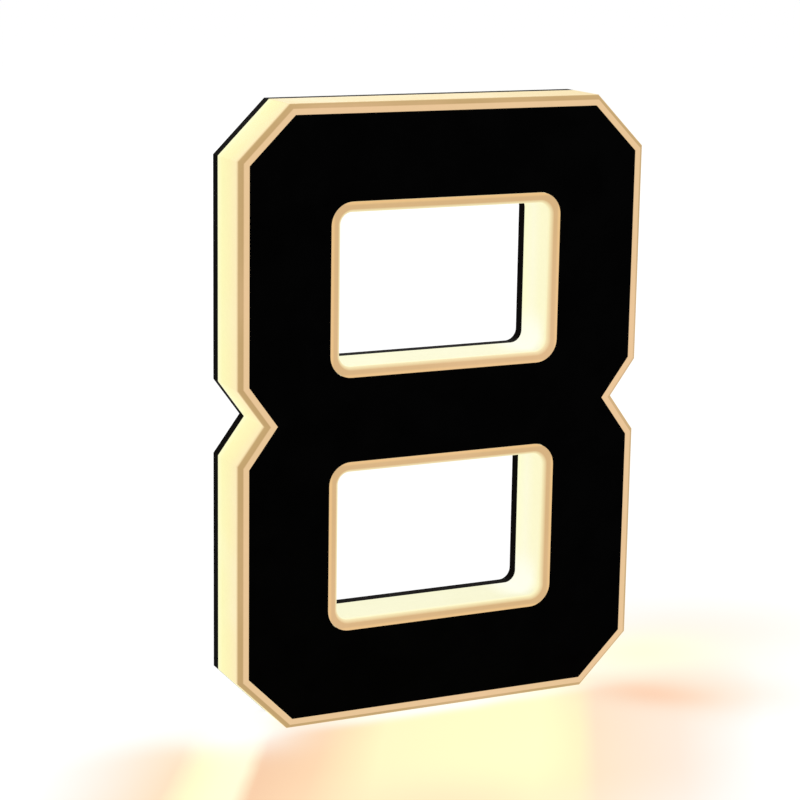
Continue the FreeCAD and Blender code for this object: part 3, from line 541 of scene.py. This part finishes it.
def make_stud_tree():
    """Studs with a real helical thread at both ends and a plain shank between, one at every hole."""
    lengths = [
        "Radius", "Thread Depth", "Pitch", "Start", "End", "Shank Start", "Shank End", "Shank Radius", "Chamfer",
    ]
    tree, given, out = make_tree(
        "threaded stud at each hole",
        [("Holes", "Geometry"), ("Finish", "Material"), ("Sides", "Int"), ("Rows", "Int")]
        + [(length, "Float") for length in lengths],
    )
    sheet = add(
        tree, "GeometryNodeMeshGrid",
        {"Size X": 1.0, "Size Y": 1.0, "Vertices X": given["Sides"], "Vertices Y": given["Rows"]})
    spot = add(tree, "ShaderNodeSeparateXYZ", {0: add(tree, "GeometryNodeInputPosition").outputs[0]}).outputs
    around, up = Value(tree, spot[0]) + 0.5, Value(tree, spot[1]) + 0.5
    start, end = Value(tree, given["Start"]), Value(tree, given["End"])
    radius = Value(tree, given["Radius"])
    along = (end - start) * up + start

    turn = along / given["Pitch"] - around
    groove = turn.maths("PINGPONG", 0.5) * 2.0 * given["Thread Depth"]
    threaded = radius - groove
    on_shank = along.maths("GREATER_THAN", given["Shank Start"]) * along.maths("LESS_THAN", given["Shank End"])
    shank = Value(tree, given["Shank Radius"])
    bar = on_shank * (shank - threaded) + threaded
    from_end = (along - start).at_most(end - along)
    bar = bar.at_most(radius - given["Chamfer"] + from_end)

    # The first and last rows close on the axis.
    inside_ends = up.maths("GREATER_THAN", END_SHARE) * up.maths("LESS_THAN", 1.0 - END_SHARE)
    bar = bar * inside_ends
    angle = around * -math.tau
    across, upward = bar * angle.maths("COSINE"), bar * angle.maths("SINE")
    point = add(tree, "ShaderNodeCombineXYZ", {0: across, 1: along, 2: upward})
    rolled = add(tree, "GeometryNodeSetPosition", {"Geometry": sheet.outputs["Mesh"], "Position": point.outputs[0]})
    welded = add(tree, "GeometryNodeMergeByDistance", {"Geometry": rolled.outputs[0], "Distance": WELD_MM * MM})
    stood = add(tree, "GeometryNodeInstanceOnPoints", {"Points": given["Holes"], "Instance": welded.outputs[0]})
    end_tree(tree, stood.outputs[0], given["Finish"], out)
    return tree


def grow(name, tree, holes, values):
    """A mesh made by a geometry tree over a drilling pattern."""
    points = bpy.data.meshes.new(name)
    points.from_pydata([(x * MM, 0.0, z * MM) for x, z in holes], [], [])
    item = bpy.data.objects.new(name, points)
    bpy.context.scene.collection.objects.link(item)
    modifier = item.modifiers.new("pattern", "NODES")
    modifier.node_group = tree
    names = {s.name: s.identifier for s in tree.interface.items_tree if s.in_out == "INPUT"}
    for key, value in values.items():
        modifier[names[key]] = value
    evaluated = item.evaluated_get(bpy.context.evaluated_depsgraph_get())
    mesh = bpy.data.meshes.new_from_object(evaluated)
    item.modifiers.clear()
    item.data = mesh
    mesh.name = name
    return item


def stand_for(item, node):
    """The piece takes the CAD node's place: it hangs from the root, and the CAD node is hidden."""
    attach(item, "root")
    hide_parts(node)


def repeat(name, fixing, holes, node, seed):
    """The fixing at every hole, in place of the CAD node."""
    values = {"Fixing": fixing, "Finish": FINISHES[SLOTS[node]], "Seed": seed}
    item = grow(name, REPEAT_TREE, holes, values)
    bpy.data.objects.remove(fixing)
    stand_for(item, node)


REPEAT_TREE = make_repeat_tree()

studs = grow(
    "threaded_studs",
    make_stud_tree(),
    STUD_HOLES,
    {
        "Finish": FINISHES["stainless"], "Sides": 25, "Rows": 260,
        "Radius": 2.0 * MM, "Thread Depth": 0.3 * MM, "Pitch": 0.7 * MM, "Start": -19.0 * MM, "End": 10.0 * MM,
        "Shank Start": -8.0 * MM, "Shank End": 0.0, "Shank Radius": 1.75 * MM, "Chamfer": 0.5 * MM,
    },
)
studs.data.shade_smooth()
studs.data.set_sharp_from_angle(angle=SHARP_ON_THREAD)
stand_for(studs, "wall_studs")

sleeve = turned("sleeve", [
    (round_ring(2.15), -0.25), (round_ring(2.4), 0.0), (round_ring(4.6), 0.0), (round_ring(4.9), -0.12),
    (round_ring(5.0), -0.4), (round_ring(5.0), -8.6), (round_ring(4.9), -8.88), (round_ring(4.6), -9.0),
    (round_ring(2.4), -9.0), (round_ring(2.15), -8.75),
], tube=True)
repeat("turned_sleeves", sleeve, STUD_HOLES, "standoff_sleeves", seed=3)

seal = turned("seal", [
    (round_ring(2.15), -9.0), (round_ring(5.2), -9.0), (round_ring(5.42), -9.1), (round_ring(5.5), -9.3),
    (round_ring(5.5), -9.7), (round_ring(5.42), -9.9), (round_ring(5.2), -10.0), (round_ring(2.15), -10.0),
], tube=True)
repeat("pressed_seals", seal, STUD_HOLES, "seal_washers", seed=5)

screw = turned("screw", [
    (round_ring(0.35), -11.35), (hex_ring(2.0), -11.2), (hex_ring(2.0), -10.12), (hex_ring(2.3), -10.0),
    (round_ring(2.7), -10.0), (round_ring(2.9), -10.04), (round_ring(2.96), -10.14), (round_ring(1.5), -11.6),
    (round_ring(1.5), -17.6), (round_ring(1.1), -18.0),
])
repeat("countersunk_screws", screw, SCREW_HOLES, "plate_screws", seed=11)

grommet = turned("grommet", [
    (round_ring(2.75), -9.1), (round_ring(2.95), -8.88), (round_ring(3.3), -8.8), (round_ring(5.7), -8.8),
    (round_ring(6.15), -8.92), (round_ring(6.42), -9.2), (round_ring(6.5), -9.6), (round_ring(6.4), -9.98),
    (round_ring(5.0), -10.0), (round_ring(5.0), -14.0), (round_ring(6.4), -14.02), (round_ring(6.5), -14.4),
    (round_ring(6.42), -14.8), (round_ring(6.15), -15.08), (round_ring(5.7), -15.2), (round_ring(3.3), -15.2),
    (round_ring(2.95), -15.12), (round_ring(2.75), -14.9),
], sides=64, tube=True)
repeat("moulded_grommet", grommet, [(GROMMET_ACROSS, 0.0)], "cable_grommet", seed=2)


# ---------------------------------------------------------------------------------------------------------------
# Floor, light and camera
# ---------------------------------------------------------------------------------------------------------------

def past_object(tree):
    """1 where the camera, a gloss or a clear piece looks at the surroundings, and 0 for the light they give."""
    path = add(tree, "ShaderNodeLightPath").outputs
    return Value(tree, path["Is Camera Ray"]).at_least(path["Is Glossy Ray"]).at_least(path["Is Transmission Ray"])


# How much of the floor's colour the camera sees as its own, how much is paint, and half the floor's width in metres.
FLOOR_LIT = 0.93
FLOOR_PAINT = 0.20
FLOOR_HALF = 12.0
WHITE = linear(255, 255, 255)

# Light leaves the foot of the figure in slanting bands. Each is a place across, level with the face, and a colour.
# They shift across by the slant for each millimetre forward. They begin under the body and fade out in front of it.
BAND_SLANT = 0.58
BANDS_BEGIN = (-8.0, -42.0)
BANDS_END = (-200.0, -100.0)
WAVE_MM = 2.0
FLOOR_BANDS = [
    (-138.0, (255, 255, 255)),
    (-112.0, (252, 238, 226)),
    (-89.0, (249, 222, 192)),
    (-80.0, (255, 248, 202)),
    (-72.0, (255, 254, 212)),
    (-65.0, (255, 250, 216)),
    (-59.0, (243, 202, 167)),
    (-40.0, (251, 214, 176)),
    (-18.0, (255, 247, 198)),
    (38.0, (255, 255, 202)),
    (53.0, (255, 243, 196)),
    (60.0, (252, 227, 199)),
    (90.0, (251, 232, 216)),
    (124.0, (255, 255, 255)),
]

# Soft patches over the bands: middle across and along, half sizes, turn, strength, colour.
PATCH_SOFTNESS = 0.67
FLOOR_PATCHES = [
    ((122.0, 4.0), (80.0, 60.0), 0.0, 0.9, (251, 240, 230)),
    ((92.0, -10.0), (42.0, 34.0), 0.0, 0.8, (255, 252, 214)),
    ((-42.0, -118.0), (62.0, 46.0), 0.0, 0.9, (255, 226, 190)),
    ((86.0, -52.0), (48.0, 36.0), -0.5, 0.8, (250, 228, 208)),
    ((72.0, -48.0), (28.0, 19.0), -0.7, 0.8, (246, 203, 172)),
    ((-70.0, -28.0), (28.0, 25.0), 0.0, 1.0, (255, 255, 252)),
    ((0.0, -32.0), (62.0, 7.0), 0.0, 1.0, (255, 255, 248)),
]


def make_patch_group():
    """A soft oval of light on the floor: 1 in its middle, a ninth at its half sizes."""
    group, given, out = new_group(
        "patch of light",
        [("Place", "Vector", None), ("Middle", "Vector", None), ("Half Size", "Vector", None),
         ("Turn", "Float", 0.0)],
        [("Share", "Float")],
    )
    away = add(group, "ShaderNodeVectorMath", {0: given["Place"], 1: given["Middle"]}, operation="SUBTRACT")
    turn_back = Value(group, given["Turn"]) * -1.0
    across = add(
        group, "ShaderNodeVectorRotate", {"Vector": away.outputs[0], "Angle": turn_back}, rotation_type="Z_AXIS")
    share = add(group, "ShaderNodeVectorMath", {0: across.outputs[0], 1: given["Half Size"]}, operation="DIVIDE")
    radius = add(group, "ShaderNodeVectorMath", {0: share.outputs[0]}, operation="LENGTH").outputs["Value"]
    feed(group, out.inputs["Share"], Value(group, radius).bell(0.0, PATCH_SOFTNESS))
    return group


def make_floor():
    """Pale floor under the figure, with the warm light that the body's lower edge throws painted on it."""
    mesh = bpy.data.meshes.new("floor")
    half, level = FLOOR_HALF, -HALF_HEIGHT * MM
    corners = [(-half, -half, level), (half, -half, level), (half, half, level), (-half, half, level)]
    mesh.from_pydata(corners, [], [(0, 1, 2, 3)])
    item = bpy.data.objects.new("floor", mesh)
    bpy.context.scene.collection.objects.link(item)

    material, tree, shader = start_material("pale floor", Roughness=0.9, Specular_IOR_Level=0.0)
    vector, (x, y, _) = place(tree)
    wave = noise(tree, vector, 0.03, 2.0) * (2.0 * WAVE_MM) - WAVE_MM
    first, last = FLOOR_BANDS[0][0], FLOOR_BANDS[-1][0]
    across = x - (y + BODY_FRONT) * BAND_SLANT + wave
    stops = [((foot - first) / (last - first), linear(*tint)) for foot, tint in FLOOR_BANDS]
    bands = ramp(tree, (across - first) / (last - first), stops)
    lit = y.between(*BANDS_BEGIN) * y.between(*BANDS_END)
    colour = blend(tree, lit.socket, WHITE, bands)

    spot = add(tree, "ShaderNodeCombineXYZ", {0: x + wave, 1: y - wave}).outputs[0]
    patch_group = make_patch_group()
    for middle, half_size, turn, strength, tint in FLOOR_PATCHES:
        patch = add(tree, "ShaderNodeGroup", node_tree=patch_group)
        values = {"Place": spot, "Middle": (*middle, 0.0), "Half Size": (*half_size, 1.0), "Turn": turn}
        for key, value in values.items():
            feed(tree, patch.inputs[key], value)
        share = Value(tree, patch.outputs["Share"]) * strength
        colour = blend(tree, share.socket, colour, linear(*tint))
    paint = add(tree, "ShaderNodeVectorMath", {0: colour, "Scale": FLOOR_PAINT}, operation="SCALE").outputs[0]
    tree.links.new(paint, shader.inputs["Base Color"])
    tree.links.new(colour, shader.inputs["Emission Color"])
    tree.links.new((past_object(tree) * FLOOR_LIT).socket, shader.inputs["Emission Strength"])
    mesh.materials.append(material)


SKY_SEEN = 1.0
SKY_LIGHT = 0.35


def make_world():
    """White where the camera, gloss or glass looks past the object, and plain soft light otherwise."""
    world = bpy.data.worlds.new("studio")
    bpy.context.scene.world = world
    world.use_nodes = True
    tree = world.node_tree
    tree.nodes.clear()
    strength = past_object(tree) * (SKY_SEEN - SKY_LIGHT) + SKY_LIGHT
    sky = add(tree, "ShaderNodeBackground", {"Color": WHITE, "Strength": strength})
    tree.links.new(sky.outputs[0], add(tree, "ShaderNodeOutputWorld").inputs[0])


# Soft lamps, each aimed at the figure: name, place and size in metres, power in watts.
LAMPS = [
    ("key", (-0.8, -1.2, 1.0), 0.9, 10.0),
    ("fill", (1.2, -1.0, 0.6), 1.0, 6.0),
    ("back", (0.3, 1.5, 0.9), 1.0, 9.0),
]


def add_lamp(name, spot, size, power):
    lamp = bpy.data.lights.new(name, "AREA")
    lamp.size = size
    lamp.energy = power
    item = bpy.data.objects.new(name, lamp)
    bpy.context.scene.collection.objects.link(item)
    item.location = spot
    item.rotation_euler = (-Vector(spot)).to_track_quat("-Z", "Y").to_euler()


# The lens and its sensor are in millimetres, as are the camera's distance and target. Its clip range is in metres.
CAMERA_TURN, CAMERA_RISE, CAMERA_ROLL = math.radians(-25.73), math.radians(12.47), math.radians(0.90)
CAMERA_AWAY = 767.5
CAMERA_TARGET = Vector((-16.08, -32.0, 5.17))
CAMERA_LENS = 108.64
CAMERA_SENSOR = 36.0
CAMERA_CLIP = (0.01, 50.0)


def make_camera():
    """The photograph's view: from the left and a little above."""
    back = Vector((
        math.sin(CAMERA_TURN) * math.cos(CAMERA_RISE),
        -math.cos(CAMERA_TURN) * math.cos(CAMERA_RISE),
        math.sin(CAMERA_RISE),
    ))
    right = (-back).cross(Vector((0, 0, 1))).normalized()
    up = right.cross(-back)
    across = right * math.cos(CAMERA_ROLL) + up * math.sin(CAMERA_ROLL)
    upright = up * math.cos(CAMERA_ROLL) - right * math.sin(CAMERA_ROLL)
    lens = bpy.data.cameras.new("photo view")
    lens.sensor_width = CAMERA_SENSOR
    lens.lens = CAMERA_LENS
    lens.clip_start, lens.clip_end = CAMERA_CLIP
    item = bpy.data.objects.new("photo view", lens)
    bpy.context.scene.collection.objects.link(item)
    spot = (CAMERA_TARGET + back * CAMERA_AWAY) * MM
    turn = Matrix((across, upright, back)).transposed()
    item.matrix_world = Matrix.Translation(spot) @ turn.to_4x4()
    bpy.context.scene.camera = item


make_floor()
make_world()
for lamp_values in LAMPS:
    add_lamp(*lamp_values)
make_camera()
bpy.context.scene.view_settings.view_transform = "Standard"
